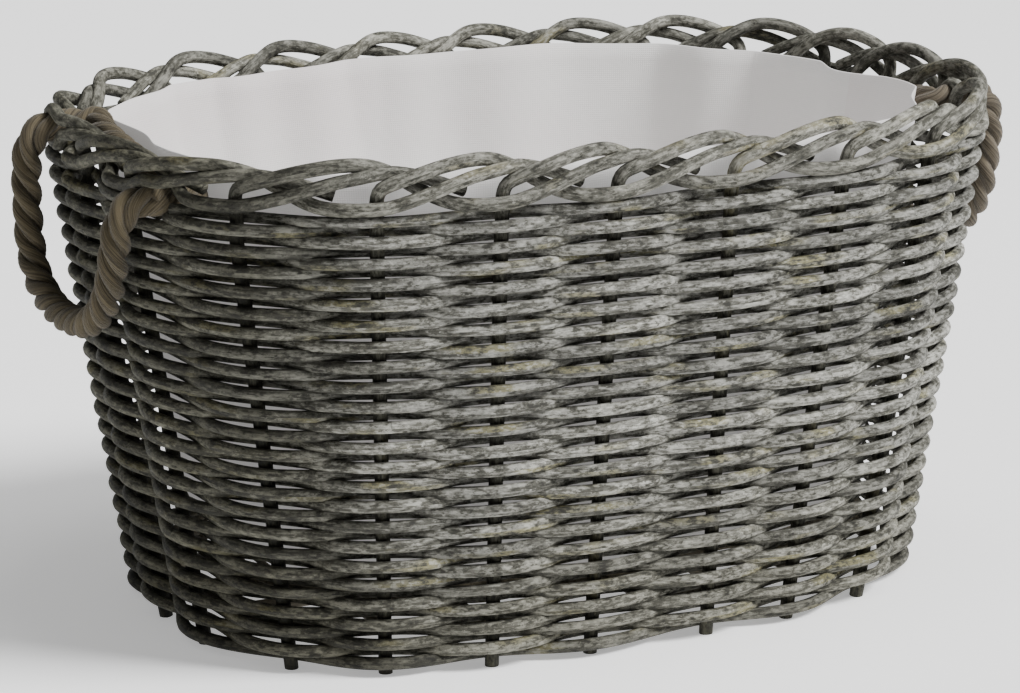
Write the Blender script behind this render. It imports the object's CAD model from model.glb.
import math

import bpy
import numpy as np
from mathutils import Matrix, Vector


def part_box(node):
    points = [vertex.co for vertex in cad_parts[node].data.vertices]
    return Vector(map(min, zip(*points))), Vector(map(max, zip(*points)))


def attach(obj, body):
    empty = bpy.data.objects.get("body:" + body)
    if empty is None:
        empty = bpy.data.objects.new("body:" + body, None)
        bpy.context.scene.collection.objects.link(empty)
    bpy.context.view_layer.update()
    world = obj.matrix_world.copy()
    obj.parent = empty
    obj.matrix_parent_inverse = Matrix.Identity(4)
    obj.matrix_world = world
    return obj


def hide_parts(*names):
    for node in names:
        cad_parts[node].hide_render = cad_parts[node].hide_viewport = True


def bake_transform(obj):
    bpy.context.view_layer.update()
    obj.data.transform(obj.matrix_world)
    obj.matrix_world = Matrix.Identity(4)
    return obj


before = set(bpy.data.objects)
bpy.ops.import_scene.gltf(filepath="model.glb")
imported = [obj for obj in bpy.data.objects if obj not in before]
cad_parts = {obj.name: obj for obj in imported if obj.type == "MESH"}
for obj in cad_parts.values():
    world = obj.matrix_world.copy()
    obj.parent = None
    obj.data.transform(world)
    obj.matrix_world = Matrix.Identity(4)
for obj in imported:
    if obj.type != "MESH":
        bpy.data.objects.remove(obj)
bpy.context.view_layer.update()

# Sizes are in millimetres, as in the CAD design, and become metres when a mesh is made.
MM = 0.001

# ---------------------------------------------------------------- design values
RIM_LENGTH, RIM_WIDTH = 600, 428
FOOT_LENGTH, FOOT_WIDTH = 508, 354
OVAL_POWER = 2.85
STAKES = 22
COURSES = 45
COURSES_PER_BAND = 3
COURSE_PITCH = 6.7
WEAVE_LIFT = 5.5
WEAVE_TOP = WEAVE_LIFT + COURSES * COURSE_PITCH
STAKE_R = 4.6
WEAVER_R = 4.05
WEAVE_SWING = 8.3
BACK_DIP = 1.5
BORDER_R = 4.4
# The rope pulls the border down and in at the -X end
PULLED_FROM, PULLED_OVER = 190, 90
PULLED_DOWN, PULLED_IN = 0.16, 4
STAKE_PHASE = 1.0
# How far each stake stands from its even place, in stake spacings, at the rim and at the foot
RIM_DRIFT = [-0.4, -0.13, 0.02, 0.02, 0, 0.05, 0.15, 0.2, 0.35, 0.3, 0.22,
             0.16, 0.05, -0.08, -0.17, -0.21, -0.27, -0.3, -0.33, -0.36, -0.38, -0.4]
FOOT_DRIFT = [-0.34, -0.13, -0.2, -0.15, -0.1, 0.22, 0.2, 0.25, 0.4, 0.35, 0.3,
              0.24, 0.19, 0.1, 0.02, -0.06, -0.14, -0.2, -0.24, -0.28, -0.31, -0.33]

# Way of a border rod: stakes passed, distance out from the wall line, height over the weave
BORDER_WAY = [
    (0, 0, -8), (0.005, 0, 4), (0.015, 0.3, 11), (0.05, 1.8, 16.4), (0.13, 4.6, 20), (0.32, 7.2, 25.8),
    (0.5, 6.4, 30), (0.7, 4, 32.6), (0.87, 0, 32.4), (1, -4.4, 29.6), (1.15, -9, 24), (1.28, -9.4, 17.4),
    (1.4, -7.6, 11.8), (1.52, -3, 7.4), (1.65, 4, 5.2), (1.8, 8.2, 4.8), (2, 8.7, 5), (2.15, 8.7, 7),
    (2.35, 8.5, 12), (2.55, 7.6, 17.5), (2.75, 5.6, 22.4), (2.9, 4.2, 24.6), (3.02, 2.3, 26),
    (3.15, -1.2, 26.4), (3.3, -4.2, 24), (3.45, -5.4, 20), (3.6, -6, 15.5), (3.72, -6.2, 11.5),
]

LINER_END_GAP, LINER_SIDE_GAP = 34.8, 15.5
ROPE_R = 10.2
# Way of each rope loop from its first hole to its second: across the basket, height over the
# floor, and how far out; the middle of the rope
ROPE_WAYS = {
    "left": [
        (-82, 306, 288), (-81, 306.5, 300), (-79.5, 303, 310.5), (-77, 291, 317), (-71, 271, 318),
        (-60, 250, 317), (-43, 231, 316.5), (-18, 217, 316.5), (14, 212, 316.5), (45, 214, 316.5),
        (71, 224, 316.5), (84, 241, 317), (86, 264, 318), (84, 290, 319), (79, 312, 319),
        (75, 325, 313), (74, 328, 302), (74, 328, 290),
    ],
    "right": [
        (-86, 320, 287), (-87, 322.5, 302), (-88, 318, 311.5), (-88, 304, 315.5), (-87, 281, 315),
        (-82, 258, 314.5), (-69, 237, 314), (-47, 223, 314), (-20, 216, 314), (8, 216, 314),
        (32, 224, 314), (48, 240, 314.5), (57, 262, 315), (61, 284, 315.5), (61, 297, 311),
        (60, 301, 302), (60, 300, 286),
    ],
}


# ---------------------------------------------------------------- camera and light
def look_from(place, aim, roll_deg, lens):
    data = bpy.data.cameras.new("camera")
    data.lens = lens
    data.sensor_width = 36
    data.clip_end = 50
    camera = bpy.data.objects.new("camera", data)
    bpy.context.scene.collection.objects.link(camera)
    turn = (Vector(aim) - Vector(place)).to_track_quat("-Z", "Y").to_matrix().to_4x4()
    roll = Matrix.Rotation(math.radians(roll_deg), 4, "Z")
    camera.matrix_world = Matrix.Translation(place) @ turn @ roll
    bpy.context.scene.camera = camera


look_from(place=(-1.18057, -2.37151, 0.81827), aim=(-0.00775, 0.0, 0.16112), roll_deg=-0.38, lens=141.794)


def area_light(name, place, aim, size, power):
    data = bpy.data.lights.new(name, "AREA")
    data.shape = "RECTANGLE"
    data.size, data.size_y = size
    data.energy = power
    light = bpy.data.objects.new(name, data)
    bpy.context.scene.collection.objects.link(light)
    turn = (Vector(aim) - Vector(place)).to_track_quat("-Z", "Y").to_matrix().to_4x4()
    light.matrix_world = Matrix.Translation(place) @ turn


def sun_light(name, toward, power, angle):
    data = bpy.data.lights.new(name, "SUN")
    data.energy = power
    data.angle = math.radians(angle)
    light = bpy.data.objects.new(name, data)
    bpy.context.scene.collection.objects.link(light)
    light.matrix_world = (-Vector(toward)).to_track_quat("-Z", "Y").to_matrix().to_4x4()


sun_light("key", toward=(0.58, -0.55, 0.82), power=5.6, angle=22)
area_light("top", (0.3, -0.2, 2.4), (0, 0, 0.1), (1.0, 1.0), 14)

world = bpy.data.worlds.new("studio")
world.use_nodes = True
world.node_tree.nodes["Background"].inputs["Color"].default_value = (1, 1, 1, 1)
world.node_tree.nodes["Background"].inputs["Strength"].default_value = 0.22
bpy.context.scene.world = world


# ---------------------------------------------------------------- shape of the basket
def mix(a, b, f):
    return a + (b - a) * f


def half_length(z):
    return mix(FOOT_LENGTH, RIM_LENGTH, z / WEAVE_TOP) / 2


def half_width(z):
    return mix(FOOT_WIDTH, RIM_WIDTH, z / WEAVE_TOP) / 2


def oval_point(angle, a, b):
    """Point of the squared oval with half sizes a and b, at an angle in radians."""
    c, s = np.cos(angle), np.sin(angle)
    r = ((np.abs(c) / a) ** OVAL_POWER + (np.abs(s) / b) ** OVAL_POWER) ** (-1 / OVAL_POWER)
    return r * c, r * s


def oval_out(x, y, a, b):
    ox = np.sign(x) * (np.abs(x) / a) ** (OVAL_POWER - 1) / a
    oy = np.sign(y) * (np.abs(y) / b) ** (OVAL_POWER - 1) / b
    size = np.hypot(ox, oy)
    return ox / size, oy / size


table_angle = np.radians(np.arange(-180, 180.5, 0.5))
table_xy = np.stack(oval_point(table_angle, RIM_LENGTH / 2, RIM_WIDTH / 2), 1)
table_way = np.concatenate([[0], np.cumsum(np.linalg.norm(np.diff(table_xy, axis=0), axis=1))])
SPACING = table_way[-1] / STAKES
table_way /= SPACING


def wall(u, z, d):
    """Points of the wall: u stake spacings round the oval, z up, d out from its centre line."""
    u, z, d = np.broadcast_arrays(np.asarray(u, float), np.asarray(z, float), np.asarray(d, float))
    a, b = half_length(z), half_width(z)
    x, y = oval_point(np.interp(u % STAKES, table_way, table_angle), a, b)
    ox, oy = oval_out(x, y, a, b)
    return np.stack([x + d * ox, y + d * oy, z], -1)


def wall_out(u, z):
    a, b = half_length(z), half_width(z)
    ox, oy = oval_out(*oval_point(np.interp(u % STAKES, table_way, table_angle), a, b), a, b)
    return np.stack([ox, oy, np.zeros_like(ox)], -1)


def drift(v, values):
    return np.interp(v % STAKES, np.arange(STAKES + 1), list(values) + [values[0]])


def stake_way(v, z):
    """Way round the oval at stake number v; between two stakes, v lies between whole numbers."""
    lean = mix(drift(v, FOOT_DRIFT), drift(v, RIM_DRIFT), z / WEAVE_TOP)
    return v + STAKE_PHASE + lean


def end_x(y, z):
    """How far out the wall's centre line is at the ends, at a place across the basket."""
    return half_length(z) * (1 - (abs(y) / half_width(z)) ** OVAL_POWER) ** (1 / OVAL_POWER)


def smooth_path(points, step):
    """Smooth curve through points, with a point about every step."""
    points = np.asarray(points, float)
    n = len(points)
    ends = np.vstack([2 * points[0] - points[1], points, 2 * points[-1] - points[-2]])
    out = []
    for i in range(n - 1):
        p0, p1, p2, p3 = ends[i : i + 4]
        count = max(2, int(np.ceil(np.linalg.norm(p2 - p1) / step)))
        t = (np.arange(count) / count)[:, None]
        out.append(0.5 * (2 * p1 + (p2 - p0) * t + (2 * p0 - 5 * p1 + 4 * p2 - p3) * t**2
                          + (3 * p1 - p0 - 3 * p2 + p3) * t**3))
    return np.vstack(out + [points[-1:]])


ROPE_LINES = {
    side: smooth_path([((-1 if side == "left" else 1) * out, across, up) for across, up, out in way], 1.2)
    for side, way in ROPE_WAYS.items()
}


def waves(x, rng, size, count, first=1):
    """Smooth random variation that closes on itself after x = 1."""
    total = np.zeros_like(x)
    for k in range(first, first + count):
        total += rng.normal() * np.sin(2 * np.pi * (k * x + rng.random())) / math.sqrt(count)
    return size * total


# ---------------------------------------------------------------- meshes
class Shape:
    """Collects tubes and sheets, and makes one object of them with rod coordinates in metres."""

    def __init__(self):
        self.points, self.faces, self.uvs, self.tones = [], [], [], []
        self.count = 0

    def grid(self, points, uv_along, uv_across, tone, close_along=False):
        """points is rows x columns x 3; rows run along, columns run round and close up."""
        rows, cols = points.shape[:2]
        start = self.count
        self.points.append(points.reshape(-1, 3))
        self.tones.append(np.full(rows * cols, tone))
        self.count += rows * cols
        last_row = rows if close_along else rows - 1
        i, j = np.meshgrid(np.arange(last_row), np.arange(cols), indexing="ij")
        i, j = i.ravel(), j.ravel()
        i2, j2 = (i + 1) % rows, (j + 1) % cols
        quads = start + np.stack([i * cols + j, i * cols + j2, i2 * cols + j2, i2 * cols + j], 1)
        self.faces += quads.tolist()
        step = uv_along[-1] - uv_along[-2]
        along = np.append(uv_along, uv_along[-1] + step)
        across = np.append(uv_across, 2 * uv_across[-1] - uv_across[-2])
        uv = np.stack([along[i], across[j], along[i], across[j + 1],
                       along[i + 1], across[j + 1], along[i + 1], across[j]], 1)
        self.uvs += uv.reshape(-1, 2).tolist()
        if not close_along:
            for row, order in ((0, range(cols - 1, -1, -1)), (rows - 1, range(cols))):
                self.faces.append([start + row * cols + k for k in order])
                self.uvs += [[along[row] + 0.5, across[k]] for k in range(cols)]

    def tube(self, path, side, radius, sides=10, closed=False, tone=0.0):
        """Tube along path. side is a vector across it at every point, radius one number or many."""
        path = np.asarray(path, float)
        if closed:
            ahead = np.roll(path, -1, 0) - np.roll(path, 1, 0)
        else:
            ahead = np.gradient(path, axis=0)
        ahead /= np.linalg.norm(ahead, axis=1, keepdims=True)
        b = np.cross(ahead, np.broadcast_to(side, path.shape))
        b /= np.linalg.norm(b, axis=1, keepdims=True)
        a = np.cross(b, ahead)
        radius = np.asarray(radius, float)
        if radius.ndim < 2:
            radius = radius.reshape(-1, 1)
        radius = np.broadcast_to(radius, (len(path), sides))
        angle = 2 * np.pi * np.arange(sides) / sides
        ring = np.cos(angle)[None, :, None] * a[:, None] + np.sin(angle)[None, :, None] * b[:, None]
        steps = np.linalg.norm(np.diff(path, axis=0), axis=1)
        along = np.concatenate([[0], np.cumsum(steps)]) * MM
        across = np.arange(sides) / sides * 2 * np.pi * float(np.mean(radius)) * MM
        self.grid(path[:, None] + ring * radius[..., None], along, across, tone, close_along=closed)

    def make(self, name, material):
        mesh = bpy.data.meshes.new(name)
        points = np.concatenate(self.points) * MM
        mesh.from_pydata(points.tolist(), [], self.faces)
        layer = mesh.uv_layers.new(name="rod")
        layer.data.foreach_set("uv", np.asarray(self.uvs, np.float32).ravel())
        tone = mesh.attributes.new("tone", "FLOAT", "POINT")
        tone.data.foreach_set("value", np.concatenate(self.tones).astype(np.float32))
        mesh.polygons.foreach_set("use_smooth", [True] * len(mesh.polygons))
        mesh.materials.append(material)
        mesh.update()
        piece = bpy.data.objects.new(name, mesh)
        bpy.context.scene.collection.objects.link(piece)
        return piece


# ---------------------------------------------------------------- materials
class Nodes:
    """Short helpers for building one material's node tree."""

    def __init__(self, name):
        self.material = bpy.data.materials.new(name)
        self.material.use_nodes = True
        self.tree = self.material.node_tree
        self.shader = self.tree.nodes["Principled BSDF"]

    def node(self, kind, **values):
        node = self.tree.nodes.new(kind)
        for key, value in values.items():
            setattr(node, key, value)
        return node

    def link(self, source, target):
        self.tree.links.new(source, target)

    def put(self, socket, value):
        if isinstance(value, (int, float, tuple)):
            socket.default_value = value
        else:
            self.link(value, socket)

    def uv(self, scale, shift=None):
        """Rod coordinates times scale, moved by a value so that no two rods match."""
        mapping = self.node("ShaderNodeMapping")
        mapping.inputs["Scale"].default_value = scale
        self.link(self.node("ShaderNodeUVMap", uv_map="rod").outputs[0], mapping.inputs["Vector"])
        if shift is None:
            return mapping.outputs[0]
        move = self.node("ShaderNodeCombineXYZ")
        self.put(move.inputs["Z"], shift)
        add = self.node("ShaderNodeVectorMath", operation="ADD")
        self.link(mapping.outputs[0], add.inputs[0])
        self.link(move.outputs[0], add.inputs[1])
        return add.outputs[0]

    def spot(self, scale):
        """Object coordinates times scale."""
        mapping = self.node("ShaderNodeMapping")
        mapping.inputs["Scale"].default_value = scale
        self.link(self.node("ShaderNodeTexCoord").outputs["Object"], mapping.inputs["Vector"])
        return mapping.outputs[0]

    def noise(self, vector, detail=4.0, rough=0.55, distort=0.0):
        node = self.node("ShaderNodeTexNoise")
        self.link(vector, node.inputs["Vector"])
        node.inputs["Scale"].default_value = 1.0
        node.inputs["Detail"].default_value = detail
        node.inputs["Roughness"].default_value = rough
        node.inputs["Distortion"].default_value = distort
        return node.outputs["Fac"]

    def math(self, operation, a, b):
        node = self.node("ShaderNodeMath", operation=operation)
        self.put(node.inputs[0], a)
        self.put(node.inputs[1], b)
        return node.outputs[0]

    def span(self, value, low, high, out_low=0.0, out_high=1.0):
        node = self.node("ShaderNodeMapRange", interpolation_type="SMOOTHSTEP")
        self.link(value, node.inputs["Value"])
        ends = {"From Min": low, "From Max": high, "To Min": out_low, "To Max": out_high}
        for key, number in ends.items():
            node.inputs[key].default_value = number
        return node.outputs["Result"]

    def blend(self, factor, a, b, kind="MIX"):
        node = self.node("ShaderNodeMix", data_type="RGBA", blend_type=kind)
        self.put(node.inputs["Factor"], factor)
        self.put(node.inputs[6], a)
        self.put(node.inputs[7], b)
        return node.outputs[2]

    def bump(self, height, depth, strength=1.0, below=None):
        node = self.node("ShaderNodeBump")
        node.inputs["Strength"].default_value = strength
        node.inputs["Distance"].default_value = depth
        self.link(height, node.inputs["Height"])
        if below is not None:
            self.link(below, node.inputs["Normal"])
        return node.outputs[0]

    def tone(self):
        return self.node("ShaderNodeAttribute", attribute_name="tone").outputs["Fac"]

    def finish(self, color, roughness, normal=None, **constants):
        self.link(color, self.shader.inputs["Base Color"])
        self.put(self.shader.inputs["Roughness"], roughness)
        if normal is not None:
            self.link(normal, self.shader.inputs["Normal"])
        for key, value in constants.items():
            self.shader.inputs[key.replace("_", " ")].default_value = value
        return self.material


def shade_end(n, color, dark=0.34):
    """Damp: the -X end is stained a dark olive, and the lowest part is darker all round."""
    split = n.node("ShaderNodeSeparateXYZ")
    n.link(n.node("ShaderNodeTexCoord").outputs["Object"], split.inputs[0])
    blotch = n.noise(n.spot((9, 9, 12)), detail=3)
    reach = n.math("ADD", split.outputs["X"], n.math("MULTIPLY", blotch, 0.2))
    reach = n.math("ADD", reach, n.math("MULTIPLY", split.outputs["Z"], 0.2))
    stain = n.span(reach, -0.17, 0.04, 1.0, 0.0)
    olive = (dark * 1.02, dark, dark * 0.82, 1)
    height = n.math("ADD", split.outputs["Z"], n.math("MULTIPLY", blotch, 0.12))
    damp = n.blend(1.0, color, (0.56, 0.55, 0.49, 1), "MULTIPLY")
    color = n.blend(n.span(height, 0.06, 0.24, 0.9, 0.0), color, damp)
    return n.blend(stain, color, n.blend(1.0, color, olive, "MULTIPLY"))


def willow(name, light, dark, warm, dirt=0.8, wall_shade=1.0):
    """Weathered willow: grey skin, short light and dark patches and some olive stretches.

    wall_shade below 1 darkens the part of a rod that stands inside the weave.
    """
    n = Nodes(name)
    tone = n.tone()
    far = n.math("MULTIPLY", tone, 37.0)
    streaks = n.noise(n.uv((34, 380, 1), far), detail=6, rough=0.68)
    fine = n.noise(n.uv((160, 1300, 1), far), detail=4, rough=0.65)
    patches = n.noise(n.uv((45, 90, 1), far), detail=3)
    mottle = n.noise(n.uv((190, 360, 1), far), detail=6, rough=0.7)
    mottle = n.math("ADD", mottle, n.math("MULTIPLY", n.math("SUBTRACT", patches, 0.5), 0.6))
    rings = n.noise(n.uv((420, 60, 1), far), detail=3, rough=0.6)
    warmth = n.noise(n.uv((14, 30, 1), far), detail=3)
    color = n.blend(n.span(streaks, 0.34, 0.6), (*dark, 1), (*light, 1))
    color = n.blend(n.span(warmth, 0.56, 0.68, 0.0, 0.8), color, (*warm, 1))
    lighter = tuple(min(1, c * 1.5) for c in light)
    color = n.blend(n.span(mottle, 0.55, 0.65, 0.0, 0.8), color, (*lighter, 1))
    color = n.blend(n.span(mottle, 0.52, 0.42, 0.0, 0.9), color, (*dark, 1))
    color = n.blend(n.span(fine, 0.5, 0.72, 0.0, 0.4), color, (*dark, 1))
    grime = tuple(c * 0.3 for c in dark)
    color = n.blend(n.span(rings, 0.62, 0.74, 0.0, 0.4), color, (*grime, 1))
    color = n.blend(n.span(mottle, 0.43, 0.33, 0.0, dirt), color, (*grime, 1))
    shade = n.span(tone, 0.0, 1.0, 0.68, 1.14)
    grey = n.node("ShaderNodeCombineColor")
    for k in range(3):
        n.put(grey.inputs[k], shade)
    color = n.blend(1.0, color, grey.outputs[0], "MULTIPLY")
    if wall_shade < 1:
        split = n.node("ShaderNodeSeparateXYZ")
        n.link(n.node("ShaderNodeTexCoord").outputs["Object"], split.inputs[0])
        soiled = (wall_shade, wall_shade, wall_shade * 0.9, 1)
        color = n.blend(n.span(split.outputs["Z"], 0.300, 0.316, 1.0, 0.0), color,
                        n.blend(1.0, color, soiled, "MULTIPLY"))
    color = shade_end(n, color)
    normal = n.bump(streaks, 0.0012, 0.8)
    normal = n.bump(fine, 0.0005, 0.6, normal)
    normal = n.bump(mottle, 0.0008, 0.5, normal)
    rough = n.span(streaks, 0.3, 0.7, 0.6, 0.85)
    return n.finish(color, rough, normal, Specular_IOR_Level=0.3)


def rope_fibre(name, light, dark):
    n = Nodes(name)
    far = n.math("MULTIPLY", n.tone(), 23.0)
    strands = n.noise(n.uv((30, 900, 1), far), detail=5, rough=0.65, distort=0.4)
    hairs = n.noise(n.uv((160, 2600, 1), far), detail=3, rough=0.6)
    patches = n.noise(n.uv((25, 60, 1), far), detail=3)
    color = n.blend(n.span(strands, 0.34, 0.66), (*dark, 1), (*light, 1))
    pale = tuple(min(1, c * 1.35) for c in light)
    color = n.blend(n.span(patches, 0.48, 0.75, 0.0, 0.6), color, (*pale, 1))
    color = n.blend(n.span(hairs, 0.6, 0.85, 0.0, 0.5), color, (*dark, 1))
    color = shade_end(n, color, 0.72)
    normal = n.bump(strands, 0.0012, 0.8)
    normal = n.bump(hairs, 0.0005, 0.6, normal)
    return n.finish(color, 0.88, normal, Specular_IOR_Level=0.2, Sheen_Weight=0.15)


def cloth(name, color_a, color_b):
    """Plain woven cotton: crossed threads, soft creases and a slight change of tint."""
    n = Nodes(name)
    warp = n.node("ShaderNodeTexWave", bands_direction="X")
    weft = n.node("ShaderNodeTexWave", bands_direction="Y")
    for wave in (warp, weft):
        n.link(n.uv((1, 1, 1)), wave.inputs["Vector"])
        wave.inputs["Scale"].default_value = 210
        wave.inputs["Distortion"].default_value = 0.6
        wave.inputs["Detail"].default_value = 1
    threads = n.math("MULTIPLY", warp.outputs["Fac"], weft.outputs["Fac"])
    tint = n.noise(n.uv((5, 3, 1)), detail=3)
    slubs = n.noise(n.uv((40, 500, 1)), detail=3)
    color = n.blend(n.span(tint, 0.35, 0.7), (*color_a, 1), (*color_b, 1))
    color = n.blend(n.span(slubs, 0.6, 0.8, 0.0, 0.12), color, (0.45, 0.43, 0.4, 1))
    color = n.blend(n.span(threads, 0.0, 0.3, 0.12, 0.0), color, (0.4, 0.39, 0.37, 1))
    normal = n.bump(threads, 0.0003, 0.5)
    normal = n.bump(n.noise(n.uv((24, 16, 1)), detail=4), 0.004, 0.25, normal)
    return n.finish(color, 0.92, normal, Specular_IOR_Level=0.1, Sheen_Weight=0.1,
                    Emission_Color=(1, 0.985, 0.97, 1), Emission_Strength=0.22)


def plain_floor(name):
    n = Nodes(name)
    grain = n.noise(n.spot((60, 60, 60)), detail=3)
    color = n.blend(grain, (0.93, 0.93, 0.93, 1), (0.96, 0.96, 0.96, 1))
    return n.finish(color, 0.9, Emission_Color=(1, 1, 1, 1), Emission_Strength=0.4)


WEAVE = willow("willow_weave", (0.315, 0.312, 0.282), (0.075, 0.073, 0.058), (0.26, 0.24, 0.12))
STAKE = willow("willow_stake", (0.26, 0.255, 0.22), (0.075, 0.073, 0.057), (0.22, 0.2, 0.11), 0.8, 0.4)
BASE = willow("willow_base", (0.26, 0.235, 0.18), (0.1, 0.09, 0.065), (0.3, 0.24, 0.14))
ROPE = rope_fibre("rope_fibre", (0.145, 0.12, 0.085), (0.035, 0.028, 0.019))
CLOTH = cloth("liner_cloth", (0.66, 0.65, 0.635), (0.62, 0.575, 0.57))
FLOOR = plain_floor("floor")


# ---------------------------------------------------------------- weave
RINGS_PER_GAP = 14


def rope_gap(path):
    """How far each point of a path is from the nearest rope that comes out of the wall."""
    far = np.full(len(path), 1e9)
    for line in ROPE_LINES.values():
        out = line[np.abs(line[:, 0]) < 312]
        far = np.minimum(far, np.linalg.norm(path[:, None] - out[None], axis=2).min(1))
    return far


def bend_round_ropes(path, radius):
    """Moves a border rod's points off the ropes, so that it bends round them."""
    for line in ROPE_LINES.values():
        gaps = path[:, None] - line[None]
        size = np.linalg.norm(gaps, axis=2)
        nearest = size.argmin(1)
        rows = np.arange(len(path))
        gap, size = gaps[rows, nearest], size[rows, nearest]
        room = ROPE_R + radius - 0.8
        push = np.where((size < room)[:, None], gap * (room / np.maximum(size, 2) - 1)[:, None], 0)
        for _ in range(2):
            push[1:-1] = (push[:-2] + 2 * push[1:-1] + push[2:]) / 4
        path = path + push
    return path


def weave_course(shape, course, rng):
    count = STAKES * RINGS_PER_GAP
    v = np.arange(count) / RINGS_PER_GAP
    x = v / STAKES
    z = WEAVE_LIFT + (course + 0.5) * COURSE_PITCH + waves(x, rng, 0.35, 5, 2)
    swing = WEAVE_SWING + waves(x, rng, 0.25, 6, 3)
    path = wall(stake_way(v, z), z, swing * np.cos(np.pi * (v + course)))
    path[:, 2] -= BACK_DIP * (1 - np.cos(np.pi * (v + course))) / 2
    radius = WEAVER_R + waves(x, rng, 0.2, 3, 1) + waves(x, rng, 0.09, 6, 9)
    out = wall_out(stake_way(v, z), z)
    tone = rng.random()
    clear = rope_gap(path) > ROPE_R + 1.5
    if clear.all():
        shape.tube(path, out, radius, sides=12, closed=True, tone=tone)
        return
    first = int(np.argmin(clear))
    path, out, radius, clear = (np.roll(item, -first, 0) for item in (path, out, radius, clear))
    edges = np.flatnonzero(np.diff(np.concatenate([[0], clear.astype(int), [0]])))
    for start, end in zip(edges[::2], edges[1::2]):
        if end - start > 3:
            shape.tube(path[start:end], out[start:end], radius[start:end], sides=12, tone=tone)


def make_weave():
    rng = np.random.default_rng(11)
    for band in range(COURSES // COURSES_PER_BAND):
        shape = Shape()
        for k in range(COURSES_PER_BAND):
            weave_course(shape, band * COURSES_PER_BAND + k, rng)
        name = f"weave_band_{band + 1:02d}"
        piece = shape.make(f"rods_{band + 1:02d}", WEAVE)
        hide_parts(name)
        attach(piece, "basket")


# ---------------------------------------------------------------- stakes and border
def make_stakes():
    rng = np.random.default_rng(5)
    for i in range(STAKES):
        foot = wall(stake_way(i, 0.0), 0.0, 0.0)
        top = wall(stake_way(i, WEAVE_TOP), WEAVE_TOP, 0.0)
        straight = np.linspace(foot, top, 46)[:-2]
        way = smooth_path(np.array(BORDER_WAY) * (SPACING, 1, 1), 4.5) / (SPACING, 1, 1)
        u = stake_way(i + way[:, 0], WEAVE_TOP)
        pulled = np.clip((-wall(u, WEAVE_TOP, 0)[:, 0] - PULLED_FROM) / PULLED_OVER, 0, 1)
        rise, out = way[:, 2] * (1 - PULLED_DOWN * pulled), way[:, 1] - PULLED_IN * pulled
        border = wall(u, WEAVE_TOP + rise, out)
        border = bend_round_ropes(border[border[:, 2] > straight[-1, 2] + 3], BORDER_R)
        u = u[-len(border):]
        path = np.vstack([straight, border])
        flat = wall_out(np.full(len(straight), u[0]), WEAVE_TOP)
        side = np.vstack([flat, wall_out(u, WEAVE_TOP)])
        along = np.concatenate([[0], np.cumsum(np.linalg.norm(np.diff(path, axis=0), axis=1))])
        share = along / along[-1]
        bent = np.clip((along - along[len(straight) - 1]) / 14, 0, 1)
        radius = mix(STAKE_R, BORDER_R, bent) + waves(share, rng, 0.09, 5, 2)
        radius *= mix(1.0, 0.9, np.clip((share - 0.75) / 0.25, 0, 1))
        shape = Shape()
        shape.tube(path, side, radius, sides=14, tone=rng.random())
        ground = shape.points[0]
        ground[:, 2] = np.maximum(ground[:, 2], 0.0)
        piece = shape.make(f"stake_rod_{i + 1:02d}", STAKE)
        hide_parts(f"stake_{i + 1:02d}")
        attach(piece, "basket")


# ---------------------------------------------------------------- base
BASE_ROUNDS = 17


def make_base():
    rng = np.random.default_rng(3)
    low, high = (np.array(c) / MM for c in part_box("base_hoop"))
    middle, rod = (low[2] + high[2]) / 2, (high[2] - low[2]) / 2
    a, b = high[0] - rod, high[1] - rod
    angle = np.linspace(0, 2 * np.pi, 240, endpoint=False)
    shape = Shape()
    x, y = oval_point(angle, a, b)
    shape.tube(np.stack([x, y, np.full_like(x, middle)], 1), (0, 0, 1),
               rod + waves(angle / 2 / np.pi, rng, 0.15, 6, 2), sides=12, closed=True, tone=0.3)
    hoop = shape.make("hoop_rod", BASE)
    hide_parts("base_hoop")
    low, high = (np.array(c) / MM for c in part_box("base_weave"))
    a, b = high[0], high[1]
    shape = Shape()
    pitch = (b - 8) / (BASE_ROUNDS + 0.5)
    half = (high[2] - low[2]) / 2
    for k in range(BASE_ROUNDS):
        x, y = oval_point(angle, a - (k + 0.5) * pitch, b - (k + 0.5) * pitch)
        lift = 1.1 * np.cos(16 * angle + np.pi * k)
        shape.tube(np.stack([x, y, low[2] + half + lift], 1), (0, 0, 1), half * 0.98, sides=8,
                   closed=True, tone=rng.random())
    woven = shape.make("base_rounds", BASE)
    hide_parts("base_weave")
    for piece in (hoop, woven):
        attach(piece, "basket")
    for name in ("base_long_sticks", "base_cross_sticks"):
        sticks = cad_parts[name]
        sticks.data.materials.clear()
        sticks.data.materials.append(BASE_STICK)


def stick_wood(name):
    """Willow for the plain sticks of the base, which carry no rod coordinates."""
    n = Nodes(name)
    streaks = n.noise(n.spot((60, 60, 400)), detail=5)
    specks = n.noise(n.spot((500, 500, 500)), detail=3)
    color = n.blend(n.span(streaks, 0.35, 0.65), (0.1, 0.09, 0.065, 1), (0.26, 0.235, 0.18, 1))
    color = n.blend(n.span(specks, 0.6, 0.75, 0.0, 0.5), color, (0.04, 0.035, 0.03, 1))
    return n.finish(color, 0.75, n.bump(streaks, 0.0006, 0.5), Specular_IOR_Level=0.3)


BASE_STICK = stick_wood("base_stick")


# ---------------------------------------------------------------- liner
LINER_T = 1.2
LINER_RISE = 21
LINER_AROUND = 440


def liner_ring(angle, z, inset, depth):
    """One ring of the bag: depth pushes it out (towards the wall) where it is positive."""
    a = half_length(z) - LINER_END_GAP - inset
    b = half_width(z) - LINER_SIDE_GAP - inset
    x, y = oval_point(angle, a, b)
    ox, oy = oval_out(x, y, a, b)
    return np.stack([x + depth * ox, y + depth * oy, np.broadcast_to(z, x.shape)], 1)


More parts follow.
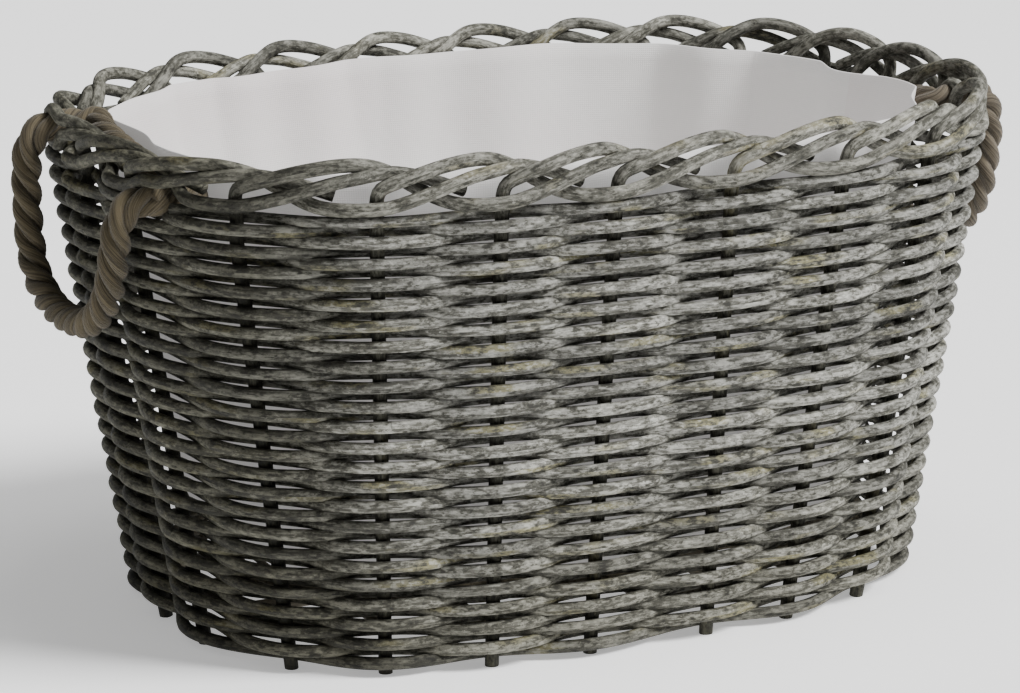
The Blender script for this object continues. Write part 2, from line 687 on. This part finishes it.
def make_liner():
    rng = np.random.default_rng(8)
    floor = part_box("liner")[0][2] / MM + 0.3
    angle = np.linspace(0, 2 * np.pi, LINER_AROUND, endpoint=False)
    share = angle / 2 / np.pi
    x, y = oval_point(angle, half_length(WEAVE_TOP) - LINER_END_GAP, half_width(WEAVE_TOP) - LINER_SIDE_GAP)
    steps = np.hypot(np.roll(x, -1) - x, np.roll(y, -1) - y)
    way = np.concatenate([[0], np.cumsum(steps)])[:-1]
    length = steps.sum()
    share = way / length
    folds = [waves(share, rng, 1.0, 7, 8) + 0.6 * waves(share, rng, 1.0, 9, 17) for _ in range(3)]
    rim = LINER_RISE + 2.2 * waves(share, rng, 1.0, 4, 2) + 0.8 * waves(share, rng, 1.0, 6, 9)
    rim = np.clip(rim, LINER_RISE - 4, LINER_RISE + 4)
    rings = []
    height = WEAVE_TOP - floor
    bottom = [(0, 150), (0, 110), (0, 80), (0, 60), (0.3, 50), (1.5, 36), (4, 22), (8, 14), (14, 8.4),
              (22, 4.2), (32, 1.6)]
    side = [(r, 0) for r in np.linspace(46, height, 34)]
    for rise, inset in bottom + side:
        h = rise / height
        swell = np.clip(1.3 * h, 0, 1) * (folds[0] * (1 - h) + folds[1] * h)
        depth = np.minimum(3.6 * swell - 2.4, 0.4)
        top = np.clip((h - 0.8) / 0.2, 0, 1)
        z = floor + rise + top * top * rim
        if rise < 1:
            z = floor + rise + 0.5 * np.sin(inset * 0.13) * folds[2] * 0.4 + 0.6
        rings.append(liner_ring(angle, z, inset, depth))
    outer = np.array(rings)
    out = np.stack([*oval_out(outer[-1, :, 0], outer[-1, :, 1], 260, 200), np.zeros(LINER_AROUND)], 1)
    lift = np.clip(1 - (np.array([r for r, _ in bottom + side]) / 30), 0, 1)[:, None, None]
    inner = outer - LINER_T * (1 - lift) * out[None] + LINER_T * lift * np.array([0, 0, 1.0])
    edge = (outer[-1] + inner[-1]) / 2 + np.array([0, 0, 0.5])
    rings = np.concatenate([outer, edge[None], inner[::-1]])
    steps = np.linalg.norm(np.diff(rings, axis=0), axis=2).mean(1)
    along = np.concatenate([[0], np.cumsum(steps)]) * MM
    shape = Shape()
    shape.grid(rings, along, way * MM, 0.5)
    bag = shape.make("liner_bag", CLOTH)
    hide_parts("liner")
    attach(bag, "basket")


# ---------------------------------------------------------------- rope handles
PLIES = 3
ROPE_PITCH = 54
YARNS = 7
YARN_PITCH = 30
STRAND_SIDES = 30


def laid_rope(shape, path, rng, phase=0.0):
    """Three-strand rope along a path: each strand is a bundle of yarns with its own twist."""
    ahead = np.gradient(path, axis=0)
    ahead /= np.linalg.norm(ahead, axis=1, keepdims=True)
    across = np.zeros_like(path)
    across[0] = np.cross(ahead[0], (0.3, 0.9, 0.2))
    for i in range(1, len(path)):
        across[i] = across[i - 1] - ahead[i] * np.dot(across[i - 1], ahead[i])
        across[i] /= np.linalg.norm(across[i])
    across[0] = across[1]
    other = np.cross(ahead, across)
    along = np.concatenate([[0], np.cumsum(np.linalg.norm(np.diff(path, axis=0), axis=1))])
    strand_r = ROPE_R / 2.155 * 1.06
    centre_r = ROPE_R - strand_r
    for ply in range(PLIES):
        turn = -2 * np.pi * along / ROPE_PITCH + phase + 2 * np.pi * ply / PLIES
        centre = path + centre_r * (np.cos(turn)[:, None] * across + np.sin(turn)[:, None] * other)
        out = centre - path
        angle = 2 * np.pi * np.arange(STRAND_SIDES) / STRAND_SIDES
        yarn_turn = 2 * np.pi * along / YARN_PITCH
        lobes = np.abs(np.sin(0.5 * YARNS * (angle[None] + yarn_turn[:, None])))
        radius = strand_r * (0.93 + 0.09 * lobes) + waves(along / along[-1], rng, 0.12, 8, 3)[:, None]
        shape.tube(centre, out, radius, sides=STRAND_SIDES, tone=rng.random())


def make_ropes():
    for side, line in ROPE_LINES.items():
        rng = np.random.default_rng(20 + len(side))
        sign = -1 if side == "left" else 1
        shape = Shape()
        laid_rope(shape, line, rng)
        loop = shape.make(f"rope_handle_{side}", ROPE)
        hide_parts(f"rope_{side}_loop")
        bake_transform(loop)
        first, last = line[0], line[-1]
        y = np.linspace(first[1], last[1], 9)
        z = np.linspace(first[2], last[2], 9)
        x = sign * (end_x(y, z) - (WEAVE_SWING + WEAVER_R + ROPE_R + 1.2))
        run = np.stack([x, y, z], 1)
        reach = np.array([sign * 9, 0, 0])
        shape = Shape()
        laid_rope(shape, smooth_path(np.vstack([[first + reach], run, [last + reach]]), 1.2), rng, 1.0)
        inner = shape.make(f"rope_inside_{side}", ROPE)
        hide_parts(f"rope_{side}_run")
        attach(inner, "basket")


# ---------------------------------------------------------------- floor
FLOOR_SIZE = 18


def make_floor():
    mesh = bpy.data.meshes.new("floor")
    half = FLOOR_SIZE / 2
    corners = [(-half, -half, 0), (half, -half, 0), (half, half, 0), (-half, half, 0)]
    mesh.from_pydata(corners, [], [(0, 1, 2, 3)])
    mesh.materials.append(FLOOR)
    floor = bpy.data.objects.new("floor", mesh)
    bpy.context.scene.collection.objects.link(floor)


make_ropes()
make_weave()
make_stakes()
make_base()
make_liner()
make_floor()
